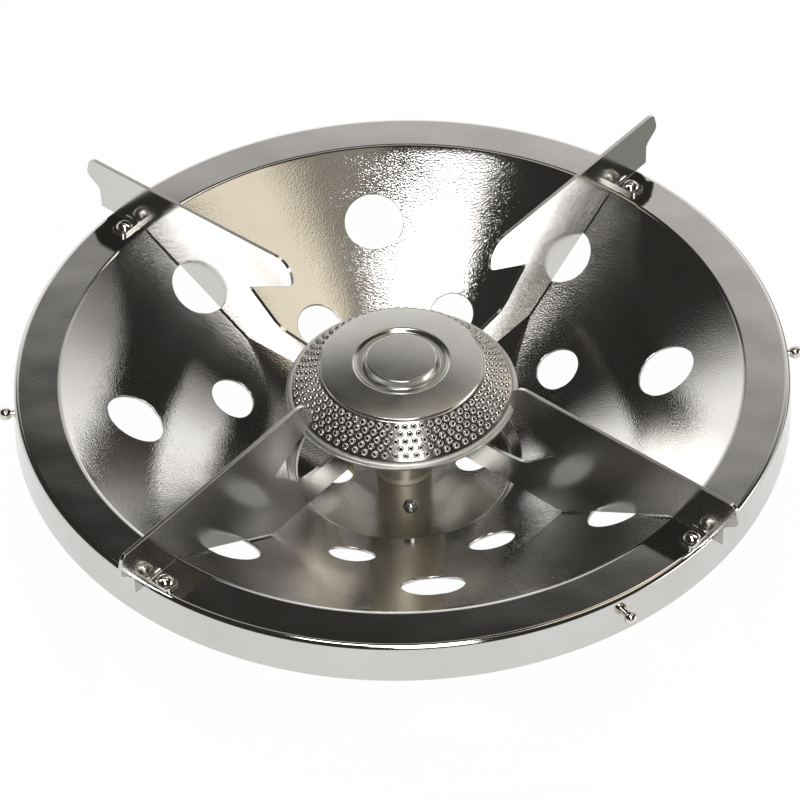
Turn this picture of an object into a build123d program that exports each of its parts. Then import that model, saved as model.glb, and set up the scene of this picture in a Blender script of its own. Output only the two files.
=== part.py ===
from build123d import *
import os
from math import atan2, cos, degrees, radians

# Gas stove head: a pressed bowl carries four pot supports, a burner on a mixing tube and a tap below.
# Millimetres, +Z up, origin on the axis where the stove seats on its gas cylinder, knob towards +Y.

# Bowl: flat flange, turned-down skirt, conical wall and a stepped well in the middle
rim_radius = 100.0
bowl_sheet = 0.8
flange_width = 11.7
rim_corner = 1.6
crease_corner = 2.4
skirt_height = 10.8
skirt_flare = 0.8
hem_size = 0.7
floor_depth = 36.5
well_step = 3.6
well_edge_radius = 31.0
well_floor_radius = 28.6
well_corner = 1.2

# Holes punched in the bowl
hole_count = 8
large_hole_ring = 69.4
large_hole_diameter = 16.0
small_hole_ring = 47.0
small_hole_diameter = 12.0
floor_hole_count = 2
floor_hole_ring = 18.0
floor_hole_diameter = 9.0

# Pot supports: sheet blades, riveted on by two ears each, a degree or so off the square
support_angles = (43.8, 134.9, 224.7, 313.5)
support_sheet = 1.0
support_gap = 0.05
support_rise = 15.0
horn_overhang = 8.2
horn_corner_overhang = 6.6
horn_lip_height = 9.4
horn_step_height = 6.2
foot_overhang = 3.6
finger_top_reach = 37.2
finger_tip_reach = 35.9
finger_tip_height = 7.4
notch_reach = 51.5
notch_depth = 1.0
leg_knee_reach = 41.5
leg_knee_depth = 10.2
leg_neck_reach = 32.5
leg_neck_depth = 11.4
leg_foot_depth = 20.0
leg_end_gap = 0.3
horn_round = 2.2
finger_round = 3.5
notch_round = 0.8
ear_length = 4.4
ear_reach = 7.0
ear_spacing = 4.4
ear_inset = 5.6
ear_round = 1.4

# Rivets
rivet_diameter = 2.4
rivet_head_diameter = 4.4
rivet_head_height = 1.5
rivet_tail_diameter = 3.8
rivet_tail_height = 0.8
rivet_fit = 0.05
rivet_offset = 3.9
floor_rivet_count = 3
floor_rivet_first_angle = -90.0
floor_rivet_ring = 15.5

# Headed studs standing out of the skirt
stud_angles = (180.0, -2.0, -63.6)
stud_drop = 5.2
stud_diameter = 1.8
stud_neck_length = 1.0
stud_ball_diameter = 3.4
stud_tail_diameter = 3.4
stud_tail_height = 0.8
stud_seat_gap = 0.2

# Burner head: cap, perforated flame ring and cup
lip_radius = 21.6
lip_depth = 0.2
lip_width = 2.4
ring_sheet = 0.8
ring_foot_radius = 28.5
ring_foot_depth = 7.6
flame_rows = 5
flame_hole_count = 64
flame_hole_size = 1.3
flame_row_start = 0.16
flame_row_end = 0.80
cap_sheet = 1.0
cap_rise = 1.3
cap_fall = 0.85
cap_margin = 0.3
cap_edge_run = 0.3
cap_edge_round = 0.4
cap_slope_width = 0.9
cap_round = 0.4
cap_groove_outer = 11.6
cap_groove_inner = 10.0
cap_groove_depth = 0.9
cap_boss_rise = 1.1
cap_spigot_length = 2.0
cup_sheet = 0.8
bead_radius = 1.1
cup_floor_radius = 21.0
cup_knee_radius = 24.0
cup_round = 2.0
cup_knee_depth = 10.6
cup_floor_depth = 11.2

# Mixing tube between the well floor and the cup
tube_radius = 7.2
tube_wall = 1.0
tube_flange_radius = 9.4
tube_flange_height = 1.0
tube_foot_radius = 10.4
tube_foot_height = 1.6
air_hole_diameter = 5.0
air_hole_height = 9.0
thread_fit = 0.05

# Jet standing in the foot of the mixing tube
jet_hex = 8.0
jet_hex_height = 3.2
jet_stem_radius = 2.4
jet_stem_length = 3.0
jet_nose_radius = 2.0
jet_nose_height = 2.2
jet_orifice_radius = 0.3

# Tap body under the well floor, with a side boss for the spindle
body_flange_radius = 19.0
body_flange_height = 2.2
body_radius = 11.0
boss_height = 4.0
side_boss_radius = 7.6
side_boss_reach = 20.0
body_cover = 8.4
chamber_wall = 0.5
chamber_radius = 3.6
chamber_reach = 14.0
seat_reach = 2.6
seat_orifice_radius = 1.2
inlet_drill_radius = 0.9
inlet_drill_reach = 4.0
gas_way_radius = 1.5

# Cylinder connector: hexagon, stub into the tap body and threaded spigot with an opening nose
seal_height = 1.6
seal_width = 3.0
seal_fit = 0.05
connector_hex = 19.0
connector_hex_height = 4.0
stub_radius = 5.6
stub_length = 4.0
stub_clearance = 0.6
spigot_radius = 8.0
spigot_relief_radius = 7.2
spigot_length = 11.0
spigot_chamfer = 1.0
nose_radius = 2.6
nose_length = 1.5
filter_radius = 3.4
filter_height = 1.4

# Spindle, its gland nut, seal ring and seat pad, measured along the spindle from the stove's axis
spindle_radius = 2.5
spindle_tip_radius = 3.0
spindle_tip_length = 2.6
spindle_thread_length = 5.4
spindle_reach = 40.0
running_fit = 0.06
pad_radius = 2.6
pad_height = 1.6
pad_stem_radius = 1.2
pad_stem_length = 1.8
pad_gap = 0.05
gland_hex = 14.0
gland_head_height = 5.0
gland_stub_radius = 5.6
gland_chamber_length = 4.5
seal_groove_reach = 15.8
seal_groove_depth = 0.7
seal_ring_section = 1.2

# Knob
knob_start = 27.0
knob_collar_radius = 7.0
knob_collar_length = 4.0
knob_clearance = 0.6
knob_cover = 4.2
knob_edge = 1.2
knob_flutes = 12
knob_flute_radius = 2.6
knob_flute_depth = 1.0
knob_flat_depth = 0.7
knob_screw_radius = 1.2
knob_screw_length = 5.0
knob_screw_head_radius = 2.4
knob_screw_head_height = 1.5
knob_screw_slot = 0.7

os.makedirs("parts", exist_ok=True)

# Heights and slopes that several pieces share
body_bottom_z = seal_height + connector_hex_height
stub_top_z = body_bottom_z + stub_length
spindle_axis_height = stub_top_z + stub_clearance + chamber_wall + chamber_radius
body_top_z = spindle_axis_height + body_cover
floor_z = body_top_z + bowl_sheet
rim_z = floor_z + floor_depth
crease_radius = rim_radius - flange_width
wall_foot_drop = floor_depth - well_step
wall_slope = wall_foot_drop / (crease_radius - well_edge_radius)
wall_angle = degrees(atan2(wall_foot_drop, crease_radius - well_edge_radius))
tube_bore = tube_radius - tube_wall
boss_radius = tube_bore - thread_fit
boss_top_z = floor_z + boss_height
spindle_start = seat_reach + 2 * pad_gap + pad_height
seal_inner_radius = spindle_radius - seal_groove_depth + pad_gap / 2
knob_end = spindle_reach + knob_cover
knob_grip_start = knob_start + knob_collar_length
knob_screw_seat = knob_end - knob_screw_head_height
knob_screw_tip = knob_screw_seat - knob_screw_length
ring_run = Vector(ring_foot_radius - lip_radius, 0, -(ring_foot_depth - lip_depth))
ring_angle = degrees(atan2(ring_foot_depth - lip_depth, ring_foot_radius - lip_radius))


def wall_drop(radius):
    return (crease_radius - radius) * wall_slope


def wall_under_z(radius):
    return rim_z - wall_drop(radius) - bowl_sheet / cos(radians(wall_angle))


def spun(profile):
    return revolve(Plane.XZ * profile, Axis.Z)


def spun_points(*points):
    return spun(make_face(Polyline(*points, close=True)))


def on_spindle(solid):
    return Pos(0, 0, spindle_axis_height) * Rot(-90, 0, 0) * solid


def ring_of(count, first, solid):
    return [Rot(0, 0, first + 360 / count * i) * solid for i in range(count)]


def rod(radius, start, end):
    base = (Align.CENTER, Align.CENTER, Align.MIN)
    return Pos(0, 0, start) * Cylinder(radius, end - start, align=base)


def hexagon(across_flats, start, end):
    outline = RegularPolygon(across_flats / 2, 6, major_radius=False)
    return Pos(0, 0, start) * extrude(outline, end - start)


def dome(radius, height):
    ball = (radius**2 + height**2) / (2 * height)
    return Pos(0, 0, height - ball) * Sphere(ball) & rod(radius, 0, height)


def rivet(grip):
    head = Pos(0, 0, grip) * dome(rivet_head_diameter / 2, rivet_head_height)
    tail = rod(rivet_tail_diameter / 2, -rivet_tail_height, 0)
    return head + rod(rivet_diameter / 2, 0, grip) + tail


def ear_places(hand):
    middle = rim_radius - ear_inset
    return ((middle + ear_spacing / 2, hand), (middle - ear_spacing / 2, -hand))


# The blades alternate between the two hands
support_hands = [1 if index % 2 == 0 else -1 for index in range(len(support_angles))]


def on_ears(solid):
    placed = []
    for angle, hand in zip(support_angles, support_hands):
        for radius, side in ear_places(hand):
            placed.append(Rot(0, 0, angle) * Pos(radius, side * rivet_offset, rim_z) * solid)
    return placed


def make_bowl():
    skirt_z = rim_z - skirt_height
    upper = FilletPolyline(
        (tube_bore, floor_z),
        (well_floor_radius, floor_z),
        (well_edge_radius, rim_z - wall_foot_drop),
        (crease_radius, rim_z),
        (rim_radius, rim_z),
        (rim_radius + skirt_flare, skirt_z),
        radius=(well_corner, well_corner, crease_corner, rim_corner),
    )
    shell = spun(make_face(offset(upper, bowl_sheet, side=Side.RIGHT)))
    hem_radius = rim_radius + skirt_flare - bowl_sheet - hem_size / 2
    hem = spun(Pos(hem_radius, skirt_z + hem_size / 2) * Circle(hem_size / 2))
    bowl = shell + hem
    bore = rivet_diameter / 2 + rivet_fit
    large = Pos(large_hole_ring, 0, rim_z - wall_drop(large_hole_ring)) * Rot(0, -wall_angle, 0)
    small = Pos(small_hole_ring, 0, rim_z - wall_drop(small_hole_ring)) * Rot(0, -wall_angle, 0)
    punch = 6 * bowl_sheet
    half_step = 180 / hole_count
    cuts = ring_of(hole_count, 0, large * Cylinder(large_hole_diameter / 2, punch))
    cuts += ring_of(hole_count, half_step, small * Cylinder(small_hole_diameter / 2, punch))
    floor_hole = Pos(floor_hole_ring, 0, floor_z) * Cylinder(floor_hole_diameter / 2, punch)
    cuts += ring_of(floor_hole_count, 0, floor_hole)
    floor_bore = Pos(floor_rivet_ring, 0, floor_z) * Cylinder(bore, punch)
    cuts += ring_of(floor_rivet_count, floor_rivet_first_angle, floor_bore)
    cuts += on_ears(Cylinder(bore, punch))
    stud_bore = Cylinder(stud_diameter / 2 + rivet_fit, punch)
    for angle in stud_angles:
        cuts.append(Rot(0, 0, angle) * Pos(rim_radius, 0, rim_z - stud_drop) * Rot(0, 90, 0) * stud_bore)
    return bowl - cuts


def make_support(hand):
    lift = support_gap
    wall_meet = crease_radius - leg_foot_depth / wall_slope
    leg_end = tube_radius + leg_end_gap
    foot_reach = rim_radius + foot_overhang
    outline = FilletPolyline(
        (leg_end, -leg_foot_depth + lift),
        (wall_meet, -leg_foot_depth + lift),
        (crease_radius, lift),
        (crease_radius, 0),
        (foot_reach, 0),
        (foot_reach, horn_step_height),
        (rim_radius + horn_overhang, horn_lip_height),
        (rim_radius + horn_corner_overhang, support_rise),
        (finger_top_reach, support_rise),
        (finger_tip_reach, finger_tip_height),
        (notch_reach, -notch_depth),
        (leg_knee_reach, -leg_knee_depth),
        (leg_neck_reach, -leg_neck_depth),
        (leg_end, -cup_floor_depth - leg_end_gap),
        radius=(0, 0, 0, 0, 0, horn_round, horn_round, horn_round, finger_round,
                finger_round / 2, notch_round, finger_round, finger_round, 0),
        close=True,
    )
    blade = extrude(Plane.XZ * make_face(outline), support_sheet / 2, both=True)
    for radius, side in ear_places(hand):
        ear = extrude(Pos(radius, side * ear_reach / 2) * Rectangle(ear_length, ear_reach), support_sheet)
        corners = ear.edges().filter_by(Axis.Z).sort_by(Axis.Y)
        outer = corners[-2:] if side > 0 else corners[:2]
        ear = fillet(outer, ear_round)
        hole = Pos(radius, side * rivet_offset) * Cylinder(rivet_diameter / 2 + rivet_fit, 4 * support_sheet)
        blade = blade + ear - hole
    return Pos(0, 0, rim_z) * blade


def make_support_rivets():
    one = Pos(0, 0, -bowl_sheet) * rivet(support_sheet + bowl_sheet)
    return Compound(children=on_ears(one))


def make_rim_studs():
    inner = rim_radius - bowl_sheet - stud_seat_gap
    ball = stud_ball_diameter / 2
    neck_end = bowl_sheet + stud_seat_gap + skirt_flare + stud_neck_length
    neck = rod(stud_diameter / 2, 0, neck_end)
    tail = rod(stud_tail_diameter / 2, -stud_tail_height, 0)
    head = Pos(0, 0, neck_end + ball / 2) * Sphere(ball)
    stud = Pos(inner, 0, rim_z - stud_drop) * Rot(0, 90, 0) * (neck + tail + head)
    return Compound(children=[Rot(0, 0, angle) * stud for angle in stud_angles])


def make_flame_ring():
    sheet_line = Polyline(
        (lip_radius - lip_width, rim_z - lip_depth),
        (lip_radius, rim_z - lip_depth),
        (ring_foot_radius, rim_z - ring_foot_depth),
    )
    ring = spun(make_face(offset(sheet_line, ring_sheet, side=Side.RIGHT)))
    hole = extrude(RegularPolygon(flame_hole_size / 2, 6), 3 * ring_sheet, both=True)
    holes = []
    for row in range(flame_rows):
        share = flame_row_start + (flame_row_end - flame_row_start) * row / (flame_rows - 1)
        spot = Vector(lip_radius, 0, rim_z - lip_depth) + ring_run * share
        turned = Pos(*spot) * Rot(0, 90 - ring_angle, 0) * hole
        stagger = 180 / flame_hole_count * (row % 2)
        holes += ring_of(flame_hole_count, stagger, turned)
    return ring - holes


def make_burner_cap():
    seat_z = rim_z - lip_depth
    top_z = seat_z + cap_rise
    groove_z = top_z - cap_groove_depth
    boss_z = top_z + cap_boss_rise
    inner = lip_radius - lip_width - thread_fit
    outer = lip_radius - cap_margin
    skin = FilletPolyline(
        (0, boss_z),
        (cap_groove_inner - cap_slope_width, boss_z),
        (cap_groove_inner, groove_z),
        (cap_groove_outer, groove_z),
        (cap_groove_outer + cap_slope_width, top_z),
        (outer - cap_edge_run, top_z - cap_fall),
        (outer, seat_z),
        radius=(cap_round, cap_round, cap_round, cap_round, cap_edge_round),
    )
    under = Polyline(
        (outer, seat_z),
        (inner, seat_z),
        (inner, seat_z - cap_spigot_length),
        (inner - cap_sheet, seat_z - cap_spigot_length),
        (inner - cap_sheet, groove_z - cap_sheet),
        (0, groove_z - cap_sheet),
        (0, boss_z),
    )
    return spun(make_face([skin, under]))


def make_burner_cup():
    bead_z = rim_z - ring_foot_depth - bead_radius
    bead = spun(Pos(ring_foot_radius + bead_radius / 2, bead_z) * Circle(bead_radius))
    floor = rim_z - cup_floor_depth
    line = FilletPolyline(
        (tube_radius + thread_fit, floor),
        (cup_floor_radius, floor),
        (cup_knee_radius, rim_z - cup_knee_depth),
        (ring_foot_radius + bead_radius / 2, bead_z),
        radius=cup_round,
    )
    dish = spun(make_face(offset(line, cup_sheet, side=Side.LEFT)))
    return dish + bead


def make_mixing_tube():
    top_z = rim_z - cup_floor_depth + cup_sheet
    tube = spun_points(
        (tube_bore, floor_z),
        (tube_foot_radius, floor_z),
        (tube_foot_radius, floor_z + tube_foot_height),
        (tube_radius, floor_z + tube_foot_height),
        (tube_radius, top_z),
        (tube_flange_radius, top_z),
        (tube_flange_radius, top_z + tube_flange_height),
        (tube_bore, top_z + tube_flange_height),
    )
    drill = Cylinder(air_hole_diameter / 2, 4 * tube_radius)
    return tube - Pos(0, 0, floor_z + air_hole_height) * Rot(0, 90, 0) * drill


def make_jet():
    stem = rod(jet_stem_radius, boss_top_z - jet_stem_length, boss_top_z)
    head_top = boss_top_z + jet_hex_height
    head = hexagon(jet_hex, boss_top_z, head_top)
    nose = Pos(0, 0, head_top) * dome(jet_nose_radius, jet_nose_height)
    nozzle = rod(jet_orifice_radius, boss_top_z, head_top + jet_nose_height)
    feed = rod(gas_way_radius, boss_top_z - jet_stem_length, head_top)
    return stem + head + nose - nozzle - feed


def make_valve_body():
    body = rod(body_radius, body_bottom_z, body_top_z)
    body += rod(body_flange_radius, body_top_z - body_flange_height, body_top_z)
    body += rod(boss_radius, body_top_z, boss_top_z)
    body += on_spindle(rod(side_boss_radius, 0, side_boss_reach))
    stub_bore = rod(stub_radius + thread_fit, body_bottom_z, stub_top_z + stub_clearance)
    chamber = on_spindle(rod(chamber_radius, seat_reach, chamber_reach))
    gland_bore = on_spindle(rod(gland_stub_radius + thread_fit, chamber_reach, side_boss_reach))
    orifice = on_spindle(rod(seat_orifice_radius, 0, seat_reach))
    gas_way = rod(gas_way_radius, spindle_axis_height - gas_way_radius, boss_top_z)
    jet_bore = rod(jet_stem_radius + thread_fit, boss_top_z - jet_stem_length, boss_top_z)
    inlet = Pos(0, inlet_drill_reach) * rod(inlet_drill_radius, stub_top_z, spindle_axis_height)
    rivet_bore = rod(rivet_diameter / 2 + rivet_fit, body_top_z - body_flange_height, body_top_z)
    rivet_bores = ring_of(floor_rivet_count, floor_rivet_first_angle, Pos(floor_rivet_ring, 0) * rivet_bore)
    air_cut = rod(floor_hole_diameter / 2, body_top_z - body_flange_height, body_top_z)
    air_cuts = ring_of(floor_hole_count, 0, Pos(floor_hole_ring, 0) * air_cut)
    return body - [stub_bore, chamber, gland_bore, orifice, gas_way, jet_bore, inlet] - rivet_bores - air_cuts


def make_floor_rivets():
    grip = bowl_sheet + body_flange_height
    one = Pos(floor_rivet_ring, 0, body_top_z - body_flange_height) * rivet(grip)
    return Compound(children=ring_of(floor_rivet_count, floor_rivet_first_angle, one))


def make_cylinder_connector():
    stub = rod(stub_radius, body_bottom_z, stub_top_z)
    head = hexagon(connector_hex, seal_height, body_bottom_z)
    relief = rod(spigot_relief_radius, 0, seal_height)
    spigot = chamfer(rod(spigot_radius, -spigot_length, 0).edges().sort_by(Axis.Z)[0], spigot_chamfer)
    nose = rod(nose_radius, -spigot_length - nose_length, -spigot_length)
    bore = rod(gas_way_radius, -spigot_length - nose_length, stub_top_z)
    pocket = rod(filter_radius + thread_fit, stub_top_z - filter_height, stub_top_z)
    return stub + head + relief + spigot + nose - bore - pocket


def make_inlet_filter():
    return rod(filter_radius, stub_top_z - filter_height, stub_top_z)


def make_cylinder_seal():
    inner = spigot_relief_radius + seal_fit
    return rod(inner + seal_width, 0, seal_height) - rod(inner, 0, seal_height)


def make_seat_pad():
    front = seat_reach + pad_gap
    return on_spindle(
        rod(pad_radius, front, front + pad_height)
        + rod(pad_stem_radius, front + pad_height, front + pad_height + pad_stem_length)
    )


def spindle_flat(fit):
    length = spindle_reach - knob_grip_start
    cut = Box(4 * spindle_radius, knob_flat_depth, length, align=(Align.CENTER, Align.MIN, Align.MAX))
    return Pos(0, spindle_radius - knob_flat_depth + fit, spindle_reach) * cut


def make_spindle():
    thread_start = spindle_start + spindle_tip_length
    thread_end = thread_start + spindle_thread_length
    pocket_end = spindle_start + pad_stem_length + pad_gap
    spindle = rod(spindle_tip_radius, spindle_start, thread_start)
    spindle += rod(chamber_radius - running_fit, thread_start, thread_end)
    spindle += rod(spindle_radius, thread_end, spindle_reach)
    groove_end = seal_groove_reach + seal_ring_section
    groove = rod(2 * spindle_radius, seal_groove_reach, groove_end)
    groove -= rod(spindle_radius - seal_groove_depth, seal_groove_reach, groove_end)
    pocket = rod(pad_stem_radius + running_fit, spindle_start, pocket_end)
    screw_bore = rod(knob_screw_radius + thread_fit, knob_screw_tip, spindle_reach)
    return on_spindle(spindle - groove - pocket - screw_bore - spindle_flat(0))


def make_spindle_seal():
    middle = seal_groove_reach + seal_ring_section / 2
    ring = Torus(seal_inner_radius + seal_ring_section / 2, seal_ring_section / 2 - pad_gap)
    return on_spindle(Pos(0, 0, middle) * ring)


def make_gland_nut():
    chamber_end = chamber_reach + gland_chamber_length
    nut = rod(gland_stub_radius, chamber_reach, side_boss_reach)
    nut += hexagon(gland_hex, side_boss_reach, side_boss_reach + gland_head_height)
    seal_bore = rod(seal_inner_radius + seal_ring_section + running_fit, chamber_reach, chamber_end)
    stem_bore = rod(spindle_radius + running_fit, chamber_reach, side_boss_reach + gland_head_height)
    return on_spindle(nut - seal_bore - stem_bore)


def make_knob():
    knob_radius = wall_under_z(knob_grip_start) - spindle_axis_height - knob_clearance
    grip = chamfer(rod(knob_radius, knob_grip_start, knob_end).edges().sort_by(Axis.Z)[-1], knob_edge)
    flute_ring = knob_radius + knob_flute_radius - knob_flute_depth
    flute = Pos(flute_ring, 0) * rod(knob_flute_radius, knob_grip_start, knob_end)
    knob = rod(knob_collar_radius, knob_start, knob_grip_start) + grip - ring_of(knob_flutes, 0, flute)
    shaft = rod(spindle_radius + thread_fit, knob_start, spindle_reach) - spindle_flat(thread_fit)
    recess = rod(knob_screw_head_radius + thread_fit, knob_screw_seat, knob_end)
    screw_way = rod(knob_screw_radius + thread_fit, spindle_reach, knob_end)
    return on_spindle(knob - shaft - recess - screw_way)


def make_knob_screw():
    shank = rod(knob_screw_radius, knob_screw_tip, knob_screw_seat)
    head = rod(knob_screw_head_radius, knob_screw_seat, knob_screw_seat + knob_screw_head_height)
    slot = Box(4 * knob_screw_head_radius, knob_screw_slot, knob_screw_slot)
    return on_spindle(shank + head - Pos(0, 0, knob_screw_seat + knob_screw_head_height) * slot)


nodes = {
    "bowl": make_bowl(),
    "support_rivets": make_support_rivets(),
    "rim_studs": make_rim_studs(),
    "burner_cap": make_burner_cap(),
    "flame_ring": make_flame_ring(),
    "burner_cup": make_burner_cup(),
    "mixing_tube": make_mixing_tube(),
    "jet": make_jet(),
    "floor_rivets": make_floor_rivets(),
    "valve_body": make_valve_body(),
    "cylinder_connector": make_cylinder_connector(),
    "inlet_filter": make_inlet_filter(),
    "cylinder_seal": make_cylinder_seal(),
    "gland_nut": make_gland_nut(),
    "seat_pad": make_seat_pad(),
    "spindle": make_spindle(),
    "spindle_seal": make_spindle_seal(),
    "knob": make_knob(),
    "knob_screw": make_knob_screw(),
}
for index, angle in enumerate(support_angles):
    nodes[f"pot_support_{index + 1}"] = Rot(0, 0, angle) * make_support(support_hands[index])
for name, shape in nodes.items():
    export_step(shape, f"parts/{name}.step")
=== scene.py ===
from math import cos, hypot, pi, radians, sin, sqrt, tan
import bpy
from mathutils import Matrix, Vector
from mathutils.geometry import delaunay_2d_cdt


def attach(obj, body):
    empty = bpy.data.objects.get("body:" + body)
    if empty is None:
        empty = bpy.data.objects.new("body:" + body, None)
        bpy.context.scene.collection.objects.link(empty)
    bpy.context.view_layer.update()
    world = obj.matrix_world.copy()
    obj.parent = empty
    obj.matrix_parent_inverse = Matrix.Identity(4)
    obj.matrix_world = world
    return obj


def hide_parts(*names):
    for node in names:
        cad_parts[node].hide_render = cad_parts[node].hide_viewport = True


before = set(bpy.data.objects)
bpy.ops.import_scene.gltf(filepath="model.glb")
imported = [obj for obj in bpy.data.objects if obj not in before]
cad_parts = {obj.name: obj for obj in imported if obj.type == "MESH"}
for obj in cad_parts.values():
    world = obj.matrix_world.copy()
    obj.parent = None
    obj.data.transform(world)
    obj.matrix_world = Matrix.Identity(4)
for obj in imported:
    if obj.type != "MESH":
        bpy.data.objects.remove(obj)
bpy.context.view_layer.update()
rimZ = 60.0    # mm, the bowl's rim above the cylinder seat
mm = 0.001
print("frame loaded:", len(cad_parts), "nodes")


# Colour and node helpers

def toLinear(hexColour):
    parts = [int(hexColour[i:i + 2], 16) / 255 for i in (1, 3, 5)]
    return [c / 12.92 if c <= 0.04045 else ((c + 0.055) / 1.055) ** 2.4 for c in parts] + [1.0]


def addNode(tree, kind, inputs=None, links=None, **settings):
    made = tree.nodes.new(kind)
    for key, value in settings.items():
        setattr(made, key, value)
    for socket, value in (inputs or {}).items():
        made.inputs[socket].default_value = value
    for socket, source in (links or {}).items():
        tree.links.new(source, made.inputs[socket])
    return made


def startMaterial(name):
    material = bpy.data.materials.new(name)
    material.use_nodes = True
    material.node_tree.nodes.clear()
    return material, material.node_tree


def grainScale(sizeMm):
    return 1.0 / (sizeMm * mm)    # noise cells per metre for grains of this size


# Bright metal: fine orange peel in the plate, soft cloudy haze and a slightly uneven tint; outside the drawn
# radius the sheet wasn't stretched and the peel is calmer
def brightMetal(name, look):
    look = {"drawnMm": 500.0, "calmMm": 2.0, "calm": 0.2, **look}
    material, tree = startMaterial(name)
    place = addNode(tree, "ShaderNodeTexCoord").outputs["Object"]
    noise = {}
    for layer, detail in (("haze", 3.0), ("peel", 1.5), ("wave", 1.0)):
        made = addNode(tree, "ShaderNodeTexNoise",
                       {"Scale": grainScale(look[layer + "Mm"]), "Detail": detail}, {"Vector": place})
        noise[layer] = made.outputs["Fac"]
    tint = addNode(tree, "ShaderNodeMix", {6: toLinear(look["colour"]), 7: toLinear(look["dull"])},
                   {0: noise["haze"]}, data_type="RGBA")
    rough = addNode(tree, "ShaderNodeMapRange",
                    {"From Min": 0.3, "From Max": 0.75, "To Min": look["polished"], "To Max": look["hazy"]},
                    {"Value": noise["haze"]})
    slow = addNode(tree, "ShaderNodeBump", {"Strength": 1.0, "Distance": look["waveDepthMm"] * mm},
                   {"Height": noise["wave"]})
    spread = addNode(tree, "ShaderNodeVectorMath", {1: (1.0, 1.0, 0.0)}, {0: place}, operation="MULTIPLY")
    radius = addNode(tree, "ShaderNodeVectorMath", links={0: spread.outputs[0]}, operation="LENGTH")
    drawnEnd = look["drawnMm"] * mm
    drawn = addNode(tree, "ShaderNodeMapRange",
                    {"From Min": drawnEnd, "From Max": drawnEnd + look["calmMm"] * mm,
                     "To Min": 1.0, "To Max": look["calm"]},
                    {"Value": radius.outputs["Value"]})
    fine = addNode(tree, "ShaderNodeBump", {"Distance": look["peelDepthMm"] * mm},
                   {"Strength": drawn.outputs["Result"], "Height": noise["peel"],
                    "Normal": slow.outputs["Normal"]})
    shader = addNode(tree, "ShaderNodeBsdfPrincipled", {"Metallic": 1.0},
                     {"Base Color": tint.outputs[2], "Roughness": rough.outputs["Result"],
                      "Normal": fine.outputs["Normal"]})
    addNode(tree, "ShaderNodeOutputMaterial", links={"Surface": shader.outputs["BSDF"]})
    return material


# Moulded stuff: plastic or rubber with a faint dusty bloom and the spark-eroded grain of its mould, which is
# drawn coarser than the real tenth of a millimetre so that it shows
def mouldedStuff(name, look):
    material, tree = startMaterial(name)
    place = addNode(tree, "ShaderNodeTexCoord").outputs["Object"]
    noise = {}
    for layer, detail in (("grain", 2.0), ("bloom", 4.0)):
        made = addNode(tree, "ShaderNodeTexNoise",
                       {"Scale": grainScale(look[layer + "Mm"]), "Detail": detail}, {"Vector": place})
        noise[layer] = made.outputs["Fac"]
    tint = addNode(tree, "ShaderNodeMix", {6: toLinear(look["colour"]), 7: toLinear(look["dusty"])},
                   {0: noise["bloom"]}, data_type="RGBA")
    rough = addNode(tree, "ShaderNodeMapRange", {"To Min": look["smooth"], "To Max": look["rough"]},
                    {"Value": noise["bloom"]})
    bump = addNode(tree, "ShaderNodeBump", {"Strength": 1.0, "Distance": look["grainDepthMm"] * mm},
                   {"Height": noise["grain"]})
    shader = addNode(tree, "ShaderNodeBsdfPrincipled", {"IOR": look["ior"]},
                     {"Base Color": tint.outputs[2], "Roughness": rough.outputs["Result"],
                      "Normal": bump.outputs["Normal"]})
    addNode(tree, "ShaderNodeOutputMaterial", links={"Surface": shader.outputs["BSDF"]})
    return material


# Nickel-chrome plate on pressed steel: mirror bright, with a fine orange peel that breaks up highlights
pressedChrome = brightMetal("nickelChromeOnPressedSteel", {
    "colour": "#d9d8d6", "dull": "#c5c3c0", "polished": 0.045, "hazy": 0.1, "hazeMm": 26.0,
    "peelMm": 0.45, "peelDepthMm": 0.025, "waveMm": 20.0, "waveDepthMm": 0.12, "drawnMm": 86.0,
})
# The same plate on flat stamped blades: straighter and softer reflections
stampedChrome = brightMetal("nickelChromeOnStampedSheet", {
    "colour": "#d6d5d2", "dull": "#cbc9c6", "polished": 0.13, "hazy": 0.2, "hazeMm": 22.0,
    "peelMm": 0.45, "peelDepthMm": 0.010, "waveMm": 24.0, "waveDepthMm": 0.10,
})
# Bright plated rivets, studs and screw, headed cold: small sharp highlights
headedChrome = brightMetal("nickelChromeOnHeadedSteel", {
    "colour": "#e2dfd9", "dull": "#cfcac2", "polished": 0.05, "hazy": 0.14, "hazeMm": 4.0,
    "peelMm": 1.0, "peelDepthMm": 0.02, "waveMm": 3.0, "waveDepthMm": 0.02,
})
# Satin drawn steel of the cap and the well rivets: soft grey reflections
satinSteel = brightMetal("satinDrawnSteel", {
    "colour": "#d9d8d4", "dull": "#c9c8c3", "polished": 0.17, "hazy": 0.24, "hazeMm": 9.0,
    "peelMm": 0.8, "peelDepthMm": 0.006, "waveMm": 12.0, "waveDepthMm": 0.02,
})
# Nickel-plated punched steel of the flame ring: bright lips round dark holes
punchedSteel = brightMetal("nickelOnPunchedSteel", {
    "colour": "#dcdad5", "dull": "#cac7c1", "polished": 0.12, "hazy": 0.2, "hazeMm": 8.0,
    "peelMm": 1.0, "peelDepthMm": 0.012, "waveMm": 6.0, "waveDepthMm": 0.03,
})
# Zinc plate on the burner cup: dull and even, so that it lights the well below
dullZinc = brightMetal("zincOnPressedSteel", {
    "colour": "#e3e2df", "dull": "#d4d2ce", "polished": 0.4, "hazy": 0.52, "hazeMm": 8.0,
    "peelMm": 1.0, "peelDepthMm": 0.012, "waveMm": 6.0, "waveDepthMm": 0.03,
})
# Brass tube and jet, dulled by heat: pale, with broad blurred reflections
heatedBrass = brightMetal("heatDulledBrass", {
    "colour": "#e0dac8", "dull": "#cbc3ad", "polished": 0.46, "hazy": 0.6, "hazeMm": 7.0,
    "peelMm": 1.2, "peelDepthMm": 0.012, "waveMm": 8.0, "waveDepthMm": 0.02,
})
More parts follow.
